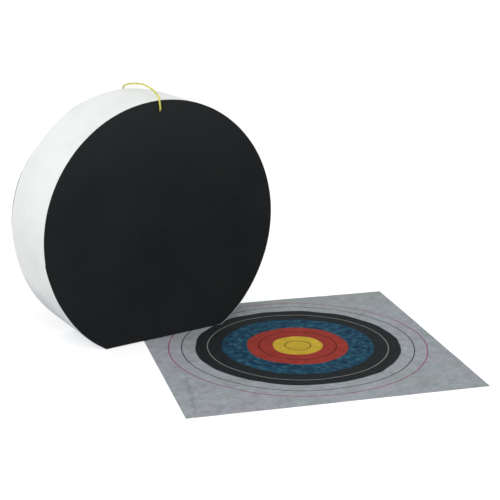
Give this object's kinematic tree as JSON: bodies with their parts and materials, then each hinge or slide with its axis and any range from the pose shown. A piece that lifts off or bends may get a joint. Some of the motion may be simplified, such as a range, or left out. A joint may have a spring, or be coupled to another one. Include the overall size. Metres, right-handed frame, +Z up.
{
  "type": "rolled foam archery target",
  "caption": "Rolled foam archery target: a wound foam disc with a flat base, a lapped white wrap and a rope carry loop, and its printed target face lying at its foot.",
  "frame": {"origin": "on the floor, under the middle of the foam disc's flat base", "axes": "+Z up, -Y the way the shooting face looks, +X to the right of someone who looks at that face"},
  "size_m": [0.9449, 0.8429, 0.5924],
  "materials": {
    "foam": "matt sawn closed-cell foam",
    "wrap": "satin",
    "rope": "braided cord",
    "printed_sheet": "matt print"
  },
  "bodies": {
    "boss": {"foam_roll": "foam", "outer_turn_1": "foam", "outer_turn_2": "foam", "side_wrap": "wrap"},
    "carry_loop": {"carry_rope": "rope", "rope_knot": "rope"},
    "target_face": {"target_face": "printed_sheet"}
  },
  "joints": [
    {"name": "rope_swing", "type": "hinge", "parent": "boss", "child": "carry_loop", "pos_m": [-0.0045, 0, 0.53985], "axis": [0, 1, 0], "range_deg": [-25, 25]},
    {"name": "face_slide", "type": "slide", "parent": "boss", "child": "target_face", "axis": [0.45, -0.893, 0], "range_m": [0, 0.24]}
  ]
}
